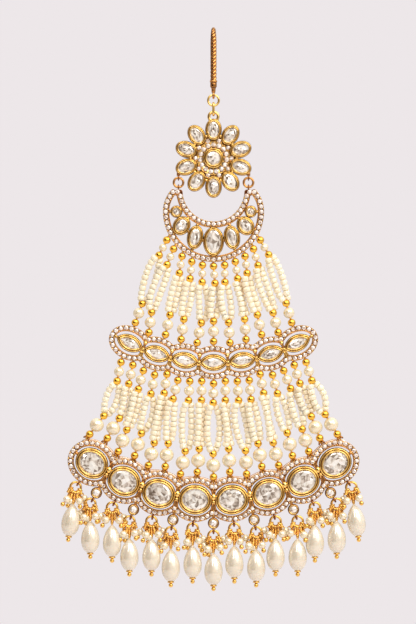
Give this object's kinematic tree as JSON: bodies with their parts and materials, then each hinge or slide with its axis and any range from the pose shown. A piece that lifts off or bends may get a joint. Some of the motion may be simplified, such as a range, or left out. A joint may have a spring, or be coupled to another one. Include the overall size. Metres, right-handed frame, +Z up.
{
  "type": "passa jhoomar headpiece",
  "caption": "Head jewel with a hair hook, a flower and crescent of uncut stones, and a widening curtain of pearl strings, a curved stone bar and a scalloped base hung with pearl drops.",
  "frame": {"origin": "inner top of the hook, where it rests on the hair or on a pin", "axes": "+Z up along the hook, the jewel hangs towards -Z; +X to the viewer's right; the front faces -Y"},
  "size_m": [0.0852, 0.0102, 0.1582],
  "materials": {
    "gold": "polished gold plate",
    "antique_gold": "antique rose-gold plate",
    "drop_wire": "gold-plated wire",
    "polki_stone": "foil-backed faceted glass",
    "seed_pearl": "small lustrous pearls on thread",
    "strand_beads": "pearls between polished gold beads",
    "pearl": "lustrous ivory pearl"
  },
  "bodies": {
    "hook": {"hook": "antique_gold"},
    "jump_ring": {"jump_ring": "gold"},
    "pendant": {"top_link": "gold", "flower_frame": "gold", "flower_stones": "polki_stone"},
    "crescent": {"side_ring_left": "antique_gold", "side_ring_right": "antique_gold", "crescent_frame": "gold", "crescent_stones": "polki_stone", "upper_seed_strings": "seed_pearl", "bar_frame": "gold", "bar_stones": "polki_stone", "lower_seed_strings": "seed_pearl", "base_frame": "gold", "base_stones": "polki_stone", "drop_hangers": "drop_wire", "upper_strand_1": "strand_beads", "upper_strand_2": "strand_beads", "upper_strand_3": "strand_beads", "upper_strand_4": "strand_beads", "upper_strand_5": "strand_beads", "upper_strand_6": "strand_beads", "upper_strand_7": "strand_beads", "upper_strand_8": "strand_beads", "upper_strand_9": "strand_beads", "upper_strand_10": "strand_beads", "upper_strand_11": "strand_beads", "lower_strand_1": "strand_beads", "lower_strand_2": "strand_beads", "lower_strand_3": "strand_beads", "lower_strand_4": "strand_beads", "lower_strand_5": "strand_beads", "lower_strand_6": "strand_beads", "lower_strand_7": "strand_beads", "lower_strand_8": "strand_beads", "lower_strand_9": "strand_beads", "lower_strand_10": "strand_beads", "lower_strand_11": "strand_beads", "lower_strand_12": "strand_beads", "lower_strand_13": "strand_beads", "lower_strand_14": "strand_beads", "lower_strand_15": "strand_beads", "lower_strand_16": "strand_beads", "lower_strand_17": "strand_beads", "drop_pearl_1": "pearl", "drop_pearl_2": "pearl", "drop_pearl_3": "pearl", "drop_pearl_4": "pearl", "drop_pearl_5": "pearl", "drop_pearl_6": "pearl", "drop_pearl_7": "pearl", "drop_pearl_8": "pearl", "drop_pearl_9": "pearl", "drop_pearl_10": "pearl", "drop_pearl_11": "pearl", "drop_pearl_12": "pearl", "drop_pearl_13": "pearl", "drop_pearl_14": "pearl", "drop_pearl_15": "pearl"}
  },
  "joints": [
    {"name": "swing", "type": "hinge", "parent": "hook", "child": "jump_ring", "pos_m": [0, -0.0034, -0.0175], "axis": [1, 0, 0], "range_deg": [-60, 60]},
    {"name": "sway", "type": "hinge", "parent": "jump_ring", "child": "pendant", "pos_m": [0, -0.0034, -0.019], "axis": [0, 1, 0], "range_deg": [-30, 30]},
    {"name": "crescent_swing", "type": "hinge", "parent": "pendant", "child": "crescent", "pos_m": [0, -0.0034, -0.04067], "axis": [1, 0, 0], "range_deg": [-45, 45]}
  ]
}
